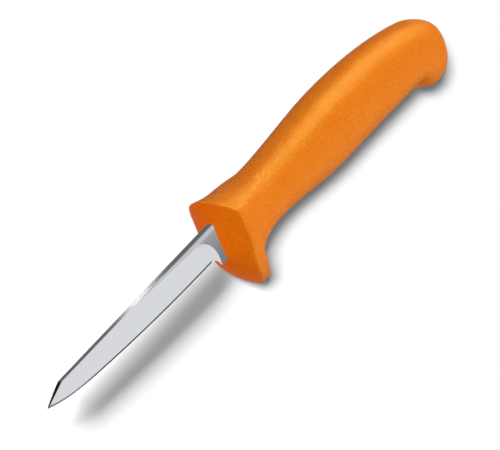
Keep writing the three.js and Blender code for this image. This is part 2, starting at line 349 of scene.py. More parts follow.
def geometry_tree(name: str, sizes: dict[str, Any]) -> tuple[NodeTree, dict[str, Value]]:
    """Starts a geometry tree with named inputs.

    Args:
        name: The tree's name.
        sizes: The inputs by name. The type of each tells the kind of its socket.

    Returns:
        The tree, and its inputs by name.
    """
    tree = bpy.data.node_groups.new(name, "GeometryNodeTree")
    for way in ("INPUT", "OUTPUT"):
        tree.interface.new_socket("Geometry", in_out=way, socket_type="NodeSocketGeometry")
    for label, size in sizes.items():
        tree.interface.new_socket(label, in_out="INPUT", socket_type=SOCKET_KINDS[type(size)])
    entry = add_node(tree, "NodeGroupInput")
    return tree, {s.name: Value(tree, s) for s in entry.outputs if s.name}


def end_tree(tree: NodeTree, geometry: Value, finish: Value) -> None:
    """Ends a geometry tree with realised instances and a material.

    Args:
        tree: The tree.
        geometry: What the tree has made.
        finish: The material that it gets.
    """
    real = result(tree, "GeometryNodeRealizeInstances", {"Geometry": geometry})
    dressed = result(tree, "GeometryNodeSetMaterial", {"Geometry": real, "Material": finish})
    add_node(tree, "NodeGroupOutput", {"Geometry": dressed})


def bare_tree(owner: bpy.types.ID) -> NodeTree:
    """Switches on the node tree of a material, a light or a world, and empties it.

    Args:
        owner: The material, the light or the world.

    Returns:
        The empty tree.
    """
    owner.use_nodes = True
    owner.node_tree.nodes.clear()
    return owner.node_tree


def tinted(tree: NodeTree, share: Value, low: str, high: str) -> Value:
    """Mixes two colours.

    Args:
        tree: The material's tree.
        share: The second colour's share.
        low: The first colour, in sRGB hex.
        high: The second colour, in sRGB hex.

    Returns:
        The mixed colour, which is the node's third output.
    """
    parts = {0: share, "A": linear(low), "B": linear(high)}
    return result(tree, "ShaderNodeMix", parts, output=2, data_type="RGBA")


def bumped(tree: NodeTree, height: Value, depth: float) -> Value:
    """Raises a surface by a noise.

    Args:
        tree: The material's tree.
        height: The noise.
        depth: How high it rises, in millimetres.

    Returns:
        The normal of the bumped surface.
    """
    parts = {"Height": height, "Distance": depth * MM, "Strength": 1.0}
    return result(tree, "ShaderNodeBump", parts)


@dataclass(frozen=True)
class Noise:
    """A noise: its grain's size in millimetres, and the number and strength of its finer layers."""

    size: float
    detail: float = 2.0
    roughness: float = 0.5

    def lay(self, tree: NodeTree, place: Value) -> Value:
        """Lays the noise in a material.

        Args:
            tree: The material's tree.
            place: Where the shaded point is, in metres.

        Returns:
            The noise, between 0 and 1.
        """
        parts = {
            "Vector": place,
            "Scale": 1 / (self.size * MM),
            "Detail": self.detail,
            "Roughness": self.roughness,
        }
        return result(tree, "ShaderNodeTexNoise", parts)


@dataclass(frozen=True)
class Finish:
    """A material that is built from its looks."""

    name: str

    def looks(self, tree: NodeTree) -> dict[str, Any]:
        """Works out the shader's inputs, which each finish does in its own way.

        Args:
            tree: The material's tree.

        Returns:
            Plain values and values of the tree, by the input's name.
        """
        raise NotImplementedError

    def material(self) -> Material:
        """Builds the material.

        Returns:
            The material, with its shader linked to the output.
        """
        material = bpy.data.materials.new(self.name)
        tree = bare_tree(material)
        shader = result(tree, "ShaderNodeBsdfPrincipled", self.looks(tree))
        add_node(tree, "ShaderNodeOutputMaterial", {"Surface": shader})
        return material


@dataclass(frozen=True)
class GripPlastic(Finish):
    """Polypropylene, moulded with a spark-eroded grain: a soft, even orange with a broad sheen."""

    name: str = "moulded_polypropylene"
    colour: str = "#DE6B0A"
    pale: str = "#EC8214"
    sheen_colour: str = "#95FF59"
    ior: float = 1.49
    specular: float = 0.1
    specular_swing: float = 0.5
    roughness: float = 0.29
    roughness_swing: float = 0.1
    # The real grain is about 0.1 mm. It is drawn at 0.4 mm, so that it shows in the render.
    grain: Noise = Noise(0.42, 2.0, 0.6)
    grain_contrast: float = 3.4
    grain_depth: float = 0.2
    clouds: Noise = Noise(7.0, 3.0, 0.55)
    cloud_contrast: float = 0.5

    def looks(self, tree: NodeTree) -> dict[str, Any]:
        """Lays a grain in the colour, the bump and the gloss, and faint clouds in the colour.

        Args:
            tree: The material's tree.

        Returns:
            The shader's inputs for orange plastic.
        """
        place = result(tree, "ShaderNodeTexCoord", output="Object")
        grain = self.grain.lay(tree, place)
        clouds = self.clouds.lay(tree, place)
        mottle = clouds.swing(self.cloud_contrast) + grain.swing(self.grain_contrast)
        sheen = grain.swing(self.specular_swing) + self.specular
        return {
            "Base Color": tinted(tree, mottle + NOISE_MIDDLE, self.colour, self.pale),
            "Roughness": grain.swing(self.roughness_swing) + self.roughness,
            "Specular IOR Level": sheen.by("MAXIMUM", 0.0),
            "Specular Tint": linear(self.sheen_colour),
            "IOR": self.ior,
            "Normal": bumped(tree, grain, self.grain_depth),
        }


@dataclass(frozen=True)
class BladeSteel(Finish):
    """Stainless steel, ground flat on its sides: pale and satin there, greyer where it is unground,
    with painted shade, highlight and dark reflections.
    """

    name: str = "ground_stainless_steel"
    ground: str = "#DCDEE2"
    unground: str = "#86888C"
    ground_roughness: float = 0.24
    unground_roughness: float = 0.42
    polish_roughness: float = 0.1
    # Real grinding lines are about 0.05 mm apart. They are drawn at 0.3 mm, so that they show.
    lines: Noise = Noise(0.3, 3.0, 0.65)
    line_length: float = 14.0
    line_depth: float = 0.002
    line_swing: float = 0.1
    # Shares of the ground finish that the unground root and the spine have.
    run_out: float = 0.35
    spine: float = 0.7
    # Painted light and shade, as multiples of the colour: painted dark reflections on the bevel and the
    # clip, then painted shade on the root, darker towards the bottom, and a painted highlight band
    # under the spine.
    painted_bevel_reflection: float = 0.1
    painted_clip_reflection: float = 0.2
    painted_root_shade: float = 0.95
    painted_root_shade_low: float = 0.55
    painted_root_highlight: float = 1.5

    def looks(self, tree: NodeTree) -> dict[str, Any]:
        """Draws grinding lines from the spine to the edge, and paints shade, a highlight and dark
        reflections into the colour by the blade's marks.

        Args:
            tree: The material's tree.

        Returns:
            The shader's inputs for steel.
        """
        place = result(tree, "ShaderNodeTexCoord", output="Object")
        stretch = self.lines.size / self.line_length
        drawn = {"Vector": place, "Scale": (1.0, stretch, stretch)}
        lines = self.lines.lay(tree, result(tree, "ShaderNodeMapping", drawn))
        ground, polish, shade, narrow = (
            result(tree, "ShaderNodeAttribute", output="Fac", attribute_name=mark.value)
            for mark in (Mark.GROUND, Mark.POLISH, Mark.PAINTED_SHADE_AND_HIGHLIGHT, Mark.PAINTED_DARK_REFLECTION)
        )
        satin = {0: ground, 2: self.unground_roughness, 3: self.ground_roughness}
        lined = result(tree, "ShaderNodeMix", satin) + lines.swing(self.line_swing)
        gloss = {0: polish, 2: lined, 3: self.polish_roughness}
        # The colour is multiplied by the painted shade and highlight on the root and by the painted
        # dark reflections on the narrow faces.
        colour = {0: tinted(tree, ground, self.unground, self.ground), 1: shade * narrow}
        return {
            "Base Color": result(tree, "ShaderNodeVectorMath", colour, operation="MULTIPLY"),
            "Roughness": result(tree, "ShaderNodeMix", gloss),
            "Metallic": 1.0,
            "Normal": bumped(tree, lines, self.line_depth),
        }


@dataclass(frozen=True)
class CorePlastic(Finish):
    """Glass-filled nylon, as moulded: dark grey and dull, with short pale fibres at its skin."""

    name: str = "glass_filled_nylon"
    colour: str = "#3E4144"
    fibre_colour: str = "#5A5D61"
    ior: float = 1.53
    roughness: float = 0.6
    fibres: Noise = Noise(0.4)

    def looks(self, tree: NodeTree) -> dict[str, Any]:
        """Flecks the plastic with fibres.

        Args:
            tree: The material's tree.

        Returns:
            The shader's inputs for grey plastic.
        """
        fleck = self.fibres.lay(tree, result(tree, "ShaderNodeTexCoord", output="Object"))
        colour = tinted(tree, fleck, self.colour, self.fibre_colour)
        return {"Base Color": colour, "Roughness": self.roughness, "IOR": self.ior}


@dataclass(frozen=True)
class FloorPaper(Finish):
    """Matt white studio paper: it shows white to the camera and keeps the knife's shadow."""

    name: str = "white_studio_paper"
    colour: str = "#F4F4F4"
    roughness: float = 0.9

    def looks(self, tree: NodeTree) -> dict[str, Any]:
        """Gives the inputs for white paper without any gloss."""
        colour = linear(self.colour)
        return {"Base Color": colour, "Roughness": self.roughness, "Specular IOR Level": 0.0}


@dataclass
class Blade:
    """Flat-ground blade with its clipped tip, the wheel's run-out at the guard, and the tang."""

    steel: BladeSteel
    place: Vector
    length: float = 80.0
    thickness: float = 1.9
    spine_at_tip: float = 1.3
    behind_edge: float = 0.3
    heel_height: float = 9.2
    heel_setback: float = 5.0
    heel_curve_setback: float = 2.6
    belly_length: float = 20.0
    belly_height: float = 6.9
    belly_lead: float = 0.36
    clip_length: float = 7.6
    tip_drop: float = 3.1
    edge_land: float = 0.04
    edge_half_angle: float = math.radians(18)
    edge_run_out: float = 2.0
    root_height: float = 12.2
    root_setback: float = 1.6
    root_depth: float = 9.0
    plunge_setback: float = 2.1
    plunge_radius: float = 9.4
    plunge_step: float = 1.4
    plunge_strip: float = 28.0
    plunge_slope: float = 0.2
    plunge_soft: float = 0.08
    shoulder_soft: float = 0.05
    tang_length: float = 76.0
    tang_height: float = 8.4
    tang_drop: float = 1.4
    hole_diameter: float = 5.0
    hole_count: int = 3
    hole_from_end: float = 9.0
    hole_pitch: float = 21.0
    hole_sides: int = 48
    corner: float = 0.02
    corner_share: float = 0.125
    # Where the finish changes. A point within near_back of the back counts as on it, and one that
    # lies more than under_side below the ground side counts as on the edge's bevel.
    mask_fade: float = 0.15
    mask_reach: float = 0.65
    # Painted shade on the root darkens over the next depth, and the painted highlight band lies the
    # next drop under the spine with the next width.
    painted_shade_depth: float = 11.0
    highlight_band_drop: float = 0.9
    highlight_band_width: float = 0.7
    # The bevel's painted dark reflection fades out between these two places, towards the tip.
    painted_bevel_fade: tuple[float, float] = (-52.0, -72.0)
    near_back: float = 0.01
    under_side: float = 0.005
    crisp_angle: float = math.radians(15)
    # How finely the outline and the skin are divided. The rings lie close together at the run-out.
    curve_points: int = 200
    bend_points: int = 30
    point_gap: float = 1e-9
    tip_gap: float = 0.04
    ring_breaks: tuple[float, ...] = (-40.0, -15.0, 0.4)
    ring_counts: tuple[int, ...] = (28, 70, 70, 130, 10, 8, 16)
    end_rings: int = 12
    rows: int = 84
    spine_points: int = 5

    @property
    def tang_start(self) -> float:
        """Where the lower line has come up from the root to the tang."""
        return self.root_depth + self.root_height - self.tang_drop - self.tang_height

    def outline(self) -> tuple[np.ndarray, np.ndarray]:
        """Draws the blade and tang from the side.

        Returns:
            The lower line and the upper line, each as points in order of x.
        """
        tip = np.array([-self.length, -self.tip_drop])
        belly = np.array([self.belly_length - self.length, -self.belly_height])
        heel = np.array([-self.heel_setback, -self.heel_height])
        slope = 2 * (self.heel_height - self.belly_height) / (heel[0] - belly[0])
        lead_x = self.belly_lead * self.belly_length - self.length
        lead = np.array([lead_x, belly[1] + slope * (belly[0] - lead_x)])
        middle = (belly[0] + heel[0]) / 2
        heel_lead = np.array([middle, belly[1] - slope * (middle - belly[0])])
        turn = np.array([-self.heel_curve_setback, -self.heel_height])
        root = np.array([-self.root_setback, -self.root_height])
        curves = [(tip, lead, belly), (belly, heel_lead, heel), (heel, turn, root)]
        t = np.linspace(0, 1, self.curve_points)[:, None]
        low = [(1 - t) ** 2 * a + 2 * t * (1 - t) * b + t * t * c for a, b, c in curves]
        radius = self.tang_height / 2
        bend = quarter_turn(self.bend_points)
        end = np.c_[radius * np.sin(bend), radius * np.cos(bend)]
        centre = np.array([self.tang_length - radius, -self.tang_drop - radius])
        low.append([[self.root_depth, -self.root_height]])
        low.append([[self.tang_start, -self.tang_drop - self.tang_height]])
        low.append(centre + end * [1, -1])
        high = [[tip, [self.clip_length - self.length, 0], [self.root_depth, 0]]]
        high.append([[self.root_depth + self.tang_drop, -self.tang_drop]])
        high.append(centre + end)
        return np.vstack(low), np.vstack(high)

    def stations(self) -> np.ndarray:
        """Lists the places along the blade that get a ring.

        Returns:
            The places, from the tip to the tang's end.
        """
        radius = self.tang_height / 2
        start, clip = self.tip_gap - self.length, self.clip_length - self.length
        end = self.tang_length - radius
        ends = [start, clip, *self.ring_breaks, self.root_depth, self.tang_start, end]
        runs = [
            np.linspace(near, far, count, endpoint=False)
            for near, far, count in zip(ends, ends[1:], self.ring_counts)
        ]
        bend = quarter_turn(self.end_rings)[:-1]
        return np.concatenate([*runs, end + radius * np.sin(bend)])

    def ground_half(self, x: np.ndarray, y: np.ndarray) -> np.ndarray:
        """Gives half the thickness on the ground sides, which run straight from spine to edge.

        Args:
            x: Places along the blade.
            y: Places across it.

        Returns:
            Half the thickness, which also thins from the guard to the tip.
        """
        half = self.thickness / 2
        spine = half + (half - self.spine_at_tip / 2) / self.length * x
        low, _ = self.outline()
        depth = -np.interp(np.minimum(x, -self.heel_setback), low[:, 0], low[:, 1])
        return spine + (spine - self.behind_edge / 2) * y / depth

    def past_wheel(self, x: np.ndarray, y: np.ndarray) -> np.ndarray:
        """Gives how far a point lies outside the outline that the grinding wheel clears.

        Args:
            x: Places along the blade.
            y: Places across it.

        Returns:
            The distances, below zero inside the outline.
        """
        cx = -self.plunge_setback - self.plunge_radius
        cy = -self.plunge_step - self.plunge_radius
        rise = self.plunge_step / self.plunge_strip
        bend = np.hypot(np.maximum(x - cx, 0), np.maximum(y - cy, 0)) - self.plunge_radius
        strip = y + self.plunge_step + rise * (x - cx)
        return np.where(x < cx, strip, bend)

    def half_at(self, x: np.ndarray, y: np.ndarray) -> np.ndarray:
        """Gives half the thickness of the ground side, the run-out and the unground root.

        Args:
            x: Places along the blade.
            y: Places across it.

        Returns:
            Half the thickness, with the edge's bevel left out.
        """
        past = -soft_low(0.0, -self.past_wheel(x, y), self.plunge_soft)
        ramp = self.ground_half(x, y) + self.plunge_slope * np.maximum(past, 0)
        return np.minimum(soft_low(self.thickness / 2, ramp, self.shoulder_soft), ramp)

    def skin(self) -> tuple[np.ndarray, int, int]:
        """Lays a ring of points round the blade at each station.

        Returns:
            All points with a pole at each end, the number of rings, and the points in a ring.
        """
        low, high = self.outline()
        x = self.stations()
        bottom = np.interp(x, low[:, 0], low[:, 1])
        top = np.interp(x, high[:, 0], high[:, 1])
        # Where two curves meet, their shared point is set apart, so that the slope stays finite.
        apart = low[:, 0] + self.point_gap * np.arange(len(low))
        lean = np.interp(x, low[:, 0], np.gradient(low[:, 1], apart))
        lean = np.where(x < -self.heel_setback, lean, 0.0)
        steep = math.tan(self.edge_half_angle)
        narrow = np.minimum(self.corner, (top - bottom) * self.corner_share)
        thin = self.ground_half(x, bottom) - self.edge_land / 2
        ground_lean = self.ground_half(x, bottom + 1) - self.ground_half(x, bottom)
        bevel = thin / (steep / np.hypot(1, lean) - ground_lean)
        bevel = np.clip(bevel, 0, (top - bottom) / 2)
        shares = np.linspace(0, 1, self.rows + 1)[1:]
        face = (bottom + bevel)[:, None] + (top - narrow - bottom - bevel)[:, None] * shares
        y = np.c_[bottom, bottom + bevel / 2, bottom + bevel, face]
        wide = np.repeat(x[:, None], y.shape[1], axis=1)
        off_edge = (y - bottom[:, None]) / np.hypot(1, lean)[:, None]
        run_out = self.edge_run_out * np.maximum(wide + self.heel_setback, 0)
        sharp = self.edge_land / 2 + off_edge * steep + run_out
        z = np.minimum(self.half_at(wide, y), sharp)
        shoulder = z[:, -1] - np.minimum(narrow, z[:, -1] / 2)
        across = np.linspace(1, -1, self.spine_points + 2) * shoulder[:, None]
        ring_y = np.c_[y, np.repeat(top[:, None], self.spine_points + 2, axis=1), y[:, ::-1]]
        ring_z = np.c_[z, across, -z[:, ::-1]]
        ring_x = np.repeat(x[:, None], ring_y.shape[1], axis=1)
        rings = np.stack([ring_x, ring_y, ring_z], axis=-1)
        tip = [[-self.length, -self.tip_drop, 0]]
        end = [[self.tang_length, -self.tang_drop - self.tang_height / 2, 0]]
        points = np.vstack([tip, rings.reshape(-1, 3), end])
        return points, len(x), ring_y.shape[1]

    def hole_tree(self, sizes: dict[str, Any]) -> NodeTree:
        """Builds the tree that drills a row of holes through the tang.

        Args:
            sizes: The tree's inputs, which give the holes' size, count, spacing and place.

        Returns:
            The tree.
        """
        tree, given = geometry_tree("tang_holes", sizes)
        bore = {
            "Vertices": self.hole_sides,
            "Radius": given["Hole Radius"],
            "Depth": given["Hole Depth"],
        }
        row = {
            "Count": given["Hole Count"],
            "Start Location": given["First Hole"],
            "Offset": given["Hole Pitch"],
        }
        spots = {
            "Points": result(tree, "GeometryNodeMeshLine", row),
            "Instance": result(tree, "GeometryNodeMeshCylinder", bore, output="Mesh"),
        }
        drills = result(tree, "GeometryNodeInstanceOnPoints", spots)
        solid = result(tree, "GeometryNodeRealizeInstances", {"Geometry": drills})
        drilled = result(
            tree,
            "GeometryNodeMeshBoolean",
            {0: given["Geometry"], 1: solid},
            operation="DIFFERENCE",
            solver="MANIFOLD",
        )
        end_tree(tree, drilled, given["Steel"])
        return tree

    def build(self) -> Object:
        """Builds the blade's mesh with its tang and drilled holes.

        Returns:
            The blade, at its place in the frame.
        """
        points, ring_count, size = self.skin()
        points = points * MM + np.array(self.place)
        piece = shown("blade_steel", skin_mesh("blade_steel", points, tube_faces(ring_count, size)))
        middle = -self.tang_drop - self.tang_height / 2
        first = Vector((self.tang_length - self.hole_from_end, middle, 0.0))
        sizes = {
            "Hole Radius": self.hole_diameter / 2 * MM,
            "Hole Depth": 2 * self.thickness * MM,
            "Hole Count": self.hole_count,
            "Hole Pitch": (-self.hole_pitch * MM, 0.0, 0.0),
            "First Hole": tuple(first * MM + self.place),
            "Steel": self.steel.material(),
        }
        face_outwards(piece.data)
        grown(piece, self.hole_tree(sizes), sizes)
        return piece

    def spots(self, parts: bpy.types.bpy_prop_collection, name: str) -> np.ndarray:
        """Reads where the vertices or faces of the blade are.

        Args:
            parts: The mesh's vertices or polygons.
            name: The property that holds their places.

        Returns:
            Their x, y and z in the knife's own frame, in millimetres.
        """
        flat = np.empty(len(parts) * 3)
        parts.foreach_get(name, flat)
        return ((flat.reshape(-1, 3) - np.array(self.place)) / MM).T

    @staticmethod
    def write(mesh: Mesh, mark: Mark, domain: str, values: np.ndarray) -> None:
        """Writes one value for each vertex or face, for the finish to read.

        Args:
            mesh: The blade's mesh.
            mark: What the values tell.
            domain: POINT or FACE.
            values: The values.
        """
        attribute = mesh.attributes.new(mark.value, "FLOAT", domain)
        attribute.data.foreach_set("value", values.astype(np.float32))

    def zones(self, x: np.ndarray, y: np.ndarray, z: np.ndarray) -> tuple[np.ndarray, ...]:
        """Tells which points lie on the narrow faces.

        Args:
            x: Places along the blade, in millimetres.
            y: Heights, in millimetres.
            z: Places across the thickness, in millimetres.

        Returns:
            Whether each point is on the spine, on the clip, and on the edge's bevel.
        """
        high = self.outline()[1]
        on_back = np.interp(x, high[:, 0], high[:, 1]) - y < self.near_back
        on_clip = on_back & (x < self.clip_length - self.length)
        on_bevel = ~on_back & (self.half_at(x, y) - np.abs(z) > self.under_side)
        return on_back & ~on_clip, on_clip, on_bevel

    def dress(self, piece: Object) -> None:
        """Marks the ground sides, paints shade and a highlight band on the root and dark reflections on
        the narrow faces, and keeps the bevels crisp.

        Args:
            piece: The blade.
        """
        steel, mesh = self.steel, piece.data
        x, y, z = self.spots(mesh.vertices, "co")
        on_spine, on_clip, on_bevel = self.zones(x, y, z)
        past = (self.past_wheel(x, y) - self.mask_reach) / self.mask_fade
        ground = np.where(on_spine, steel.spine, ease(1.0, steel.run_out, past))
        ground = np.where(on_bevel | on_clip, 0.0, ground)
        # Painted highlight: a lighter band just under the spine on the root.
        band = np.exp(-(((y + self.highlight_band_drop) / self.highlight_band_width) ** 2))
        # Painted shade: the root darkens towards the bottom.
        root = ease(steel.painted_root_shade, steel.painted_root_shade_low, -y / self.painted_shade_depth)
        shade = ease(1.0, root + (steel.painted_root_highlight - root) * band, past)
        self.write(mesh, Mark.GROUND, "POINT", ground)
        self.write(mesh, Mark.POLISH, "POINT", on_spine | on_bevel)
        self.write(mesh, Mark.PAINTED_SHADE_AND_HIGHLIGHT, "POINT", np.where(on_spine | on_clip, 1.0, shade))
        x, y, z = self.spots(mesh.polygons, "center")
        _, on_clip, on_bevel = self.zones(x, y, z)
        # Painted dark reflections: the bevel darkens, fading out towards the tip, and the clip darkens.
        start, end = self.painted_bevel_fade
        narrow = np.where(on_bevel, ease(steel.painted_bevel_reflection, 1.0, (start - x) / (start - end)), 1.0)
        self.write(mesh, Mark.PAINTED_DARK_REFLECTION, "FACE", np.where(on_clip, steel.painted_clip_reflection, narrow))
        mesh.shade_smooth()
        mesh.set_sharp_from_angle(angle=self.crisp_angle)


@dataclass(frozen=True)
class Section:
    """One section of the grip: its size, how square it is, and how much of the slot it takes.

    The crown is how far the top falls at its sides. The upper and lower halves have a power each: 2 is
    an ellipse, and more is squarer.
    """

    x: float
    top: float
    bottom: float
    half: float
    axis: float
    crown: float
    upper: float
    lower: float
    swept: float = 1.0
    slot: float = 0.0
    slot_grow: float = 0.0

    def inset(self, depth: float) -> "Section":
        """Gives the same section, smaller all round."""
        top, bottom, half = self.top - depth, self.bottom + depth, self.half - depth
        return replace(self, top=top, bottom=bottom, half=half)


@dataclass(frozen=True)
class Steps:
    """How many sections each run of the grip's skin gets, its ends counted."""

    slot: int = 6
    mouth: int = 5
    face: int = 18
    rim: int = 9
    lip: int = 5
    lip_round: int = 12
    hollow: int = 44
    handle: int = 84
    notch: int = 18
    hook: int = 56


@dataclass
class Grip:
    """Moulded grip with its bowed finger guard, waisted neck and hooked butt, hollow for the core."""

    plastic: GripPlastic
    place: Vector
    guard_top: float = 7.25
    guard_bottom: float = 25.9
    guard_width: float = 17.76
    guard_crown: float = 4.7
    guard_bow: float = 3.4
    guard_sweep: float = 9.2
    sweep_start: float = 8.4
    edge_radius: float = 0.6
    blend_length: float = 17.0
    lip_thickness: float = 5.9
    lip_radius: float = 0.9
    length: float = 117.2
    neck: float = 22.7
    neck_top: float = 3.3
    neck_bottom: float = 14.0
    neck_width: float = 15.0
    swell: float = 61.4
    swell_top: float = 5.3
    swell_width: float = 16.4
    belly_low: float = 56.4
    axis: float = 6.2
    butt_axis: float = 12.0
    crown_length: float = 17.6
    crown_height: float = 12.9
    butt_blend: float = 11.8
    slope_step: float = 0.3
    butt_width: float = 15.8
    dome_length: float = 10.6
    hook_radius: float = 9.4
    hook_depth: float = 10.1
    notch_from_butt: float = 17.6
    notch_round: float = 0.8
    guard_upper: float = 11.0
    guard_lower: float = 1.75
    handle_upper: float = 2.5
    handle_lower: float = 2.25
    wall: float = 3.0
    core_from_guard: float = 13.0
    core_from_butt: float = 13.0
    collar_count: int = 5
    collar_length: float = 4.0
    collar_height: float = 0.9
    core_gap: float = 0.3
    slot_top: float = 0.0
    slot_bottom: float = 12.2
    slot_width: float = 1.9
    slot_gap: float = 0.04
    slot_lip: float = 0.12
    # The skin lies this far inside its drawn sizes, so that it stays inside the solid's box.
    inside: float = 0.012
    crisp_angle: float = math.radians(40)
    # How finely the skin is divided. The sections lie close from before the notch to after it.
    points: int = 176
    walk_points: int = 1200
    notch_before: float = 2.0
    notch_after: float = 1.0
    steps: Steps = Steps()

    def hook_at(self, x: float) -> float:
        """Gives the underside of the hook."""
        across = (x - self.length + self.hook_radius) / self.hook_radius
        return -self.butt_axis - self.hook_depth * arc(across)

    def belly_at(self, x: float) -> float:
        """Gives the underside behind the lip: a falling belly, a rounded notch, then the hook.

        Args:
            x: A place along the grip.

        Returns:
            The height there.
        """
        notch = self.hook_at(self.length - self.notch_from_butt)
        belly = ease(-self.neck_bottom, notch, (x - self.neck) / (self.belly_low - self.neck))
        if x < self.length - self.hook_radius:
            return float(soft_low(belly, self.hook_at(x), self.notch_round))
        return self.hook_at(x)

    def crown_at(self, x: float) -> float:
        """Gives the top of the rounded butt."""
        share = (x - self.length + self.crown_length) / self.crown_length
        return self.crown_height * arc(share) - self.butt_axis

    def top_at(self, x: float) -> float:
        """Gives the grip's upper line: guard, neck, swell, then down to the butt.

        Args:
            x: A place along the grip.

        Returns:
            The height there.
        """
        start = self.length - self.butt_blend
        if x <= self.neck:
            return self.neck_top + (self.guard_top - self.neck_top) * (1 - x / self.neck) ** 2
        if x <= self.swell:
            share = (x - self.neck) / (self.swell - self.neck)
            return ease(self.neck_top, self.swell_top, share)
        if x >= start:
            return self.crown_at(x)
        run = start - self.swell
        t = (x - self.swell) / run
        step = self.slope_step
        lean = (self.crown_at(start + step) - self.crown_at(start)) / step
        return ease(self.swell_top, self.crown_at(start), t) + (t**3 - t**2) * lean * run

    def half_width_at(self, x: float) -> float:
        """Gives half the grip's width: wide at the guard, waisted, then swelling to the butt.

        Args:
            x: A place along the grip.

        Returns:
            Half the width there.
        """
        dome = self.length - self.dome_length
        if x <= self.neck:
            return ease(self.guard_width, self.neck_width, x / self.neck) / 2
        if x <= self.swell:
            share = (x - self.neck) / (self.swell - self.neck)
            return ease(self.neck_width, self.swell_width, share) / 2
        share = (x - self.swell) / (dome - self.swell)
        straight = ease(self.swell_width, self.butt_width, share) / 2
        return straight * arc(max(x - dome, 0.0) / self.dome_length)

    def section(self, x: float, bottom: float) -> Section:
        """Gives the section at one place, with a given underside.

        Args:
            x: A place along the grip.
            bottom: The height of its underside.

        Returns:
            The section.
        """
        to_neck = x / self.neck
        to_butt = (x - self.swell) / (self.length - self.swell)
        return Section(
            x=x,
            top=float(self.top_at(x)) - self.inside,
            bottom=bottom + self.inside,
            half=float(self.half_width_at(x)) - self.inside,
            axis=float(ease(-self.axis, -self.butt_axis, to_butt)),
            crown=float(ease(self.guard_crown, 0.0, to_neck)),
            upper=float(ease(self.guard_upper, self.handle_upper, to_neck)),
            lower=float(ease(self.guard_lower, self.handle_lower, to_neck)),
        )

    def cavity(self) -> list[Section]:
        """Lists the sections of the hollow for the core, with a wider stretch for each collar.

        Returns:
            The sections, from the butt's end to the slot.
        """
        front, back = self.core_from_guard, self.length - self.core_from_butt
        pitch = (back - front) / self.collar_count
        places = [(front - self.core_gap, 0.0)]
        for i in range(self.collar_count):
            start = front + i * pitch + (pitch - self.collar_length) / 2 - self.core_gap
            end = start + self.collar_length + 2 * self.core_gap
            places += [((places[-1][0] + start) / 2, 0.0), (start, 0.0)]
            places += [(start, self.collar_height), (end, self.collar_height), (end, 0.0)]
        places.append((back + self.core_gap, 0.0))
        notch = self.length - self.notch_from_butt
        made = []
        for x, collar in reversed(places):
            whole = self.section(x, self.belly_at(min(max(x, self.neck), notch)))
            inner = whole.inset(self.wall - self.core_gap - collar)
            made.append(replace(inner, lower=self.handle_lower, swept=0.0))
        return made

    def front(self) -> list[Section]:
        """Lists the sections from the slot's far end over the bowed face to the rounded rim.

        Returns:
            The sections in order.
        """
        steps, lip = self.steps, self.slot_lip
        face = self.section(0.0, -self.guard_bottom).inset(self.edge_radius)
        deep = self.core_from_guard - self.core_gap
        made = [replace(face, x=x, slot=1.0) for x in np.linspace(deep, 2 * lip, steps.slot)]
        for turn in quarter_turn(steps.mouth):
            back, grow = lip * (1 - math.sin(turn)), lip * (1 - math.cos(turn))
            made.append(replace(face, x=back, slot=1.0, slot_grow=grow))
        shares = np.linspace(1, 0, steps.face)[1:-1]
        made += [replace(face, slot=share, slot_grow=lip) for share in shares]
        for turn in quarter_turn(steps.rim):
            edge = self.section(self.edge_radius * (1 - math.cos(turn)), -self.guard_bottom)
            made.append(edge.inset(self.edge_radius * (1 - math.sin(turn))))
        return made

    def body(self) -> list[Section]:
        """Lists the sections from the lip over the hollow, neck and swell to the butt.

        Returns:
            The sections in order.
        """
        steps = self.steps
        round_from = self.lip_thickness - self.lip_radius
        level = np.linspace(self.edge_radius, round_from, steps.lip)[1:]
        places = [(x, -self.guard_bottom) for x in level]
        for turn in quarter_turn(steps.lip_round)[1:]:
            low = -self.guard_bottom + self.lip_radius * (1 - math.cos(turn))
            places.append((round_from + self.lip_radius * math.sin(turn), low))
        lip, neck = self.lip_radius - self.guard_bottom, -self.neck_bottom
        for turn in quarter_turn(steps.hollow)[1:]:
            x = self.neck - (self.neck - self.lip_thickness) * math.cos(turn)
            places.append((x, lip + (neck - lip) * math.sin(turn)))
        hook = self.length - self.hook_radius
        notch = self.length - self.notch_from_butt
        before, after = notch - self.notch_before, notch + self.notch_after
        start = math.asin((after - hook) / self.hook_radius)
        bends = np.linspace(start, math.pi / 2, steps.hook)[1:-1]
        along = [
            *np.linspace(self.neck, before, steps.handle)[1:],
            *np.linspace(before, after, steps.notch)[1:],
            *(hook + (self.hook_radius - self.inside) * np.sin(bends)),
        ]
        places += [(float(x), self.belly_at(float(x))) for x in along]
        return [self.section(x, bottom) for x, bottom in places]

    def turns(self, section: Section) -> np.ndarray:
        """Spreads a section's points evenly round it.

        Args:
            section: The section.

        Returns:
            The cosine and sine of each point's angle.
        """
        # Angles over a quarter turn that crowd towards both ends, where a square section turns fastest.
        t = np.linspace(0, 1, self.walk_points)
        fine = t**3 * (t * (6 * t - 15) + 10) * math.pi / 2
        side, up = np.cos(fine), np.sin(fine)
        side[-1] = up[0] = 0.0
        pairs = np.c_[side, up]
        quarter = self.points // 4
        made = []
        for lower, back in ((False, False), (False, True), (True, True), (True, False)):
            power = 2 / (section.lower if lower else section.upper)
            reach = section.axis - section.bottom if lower else section.top - section.axis
            across, rise = side**power, up**power
            drop = 0.0 if lower else section.crown * across**2
            steps = np.hypot(np.diff(section.half * across), np.diff((reach - drop) * rise))
            gone = np.r_[0, np.cumsum(steps)] / steps.sum()
            even = np.interp(np.arange(quarter + 1) / quarter, gone, np.arange(len(fine)))
            low, high = np.floor(even).astype(int), np.ceil(even).astype(int)
            part = (even - low)[:, None]
            spread = pairs[low] * (1 - part) + pairs[high] * part
            spread = spread[::-1] if back != lower else spread
            made.append((spread * [-1 if back else 1, -1 if lower else 1])[:-1])
        return np.vstack(made)

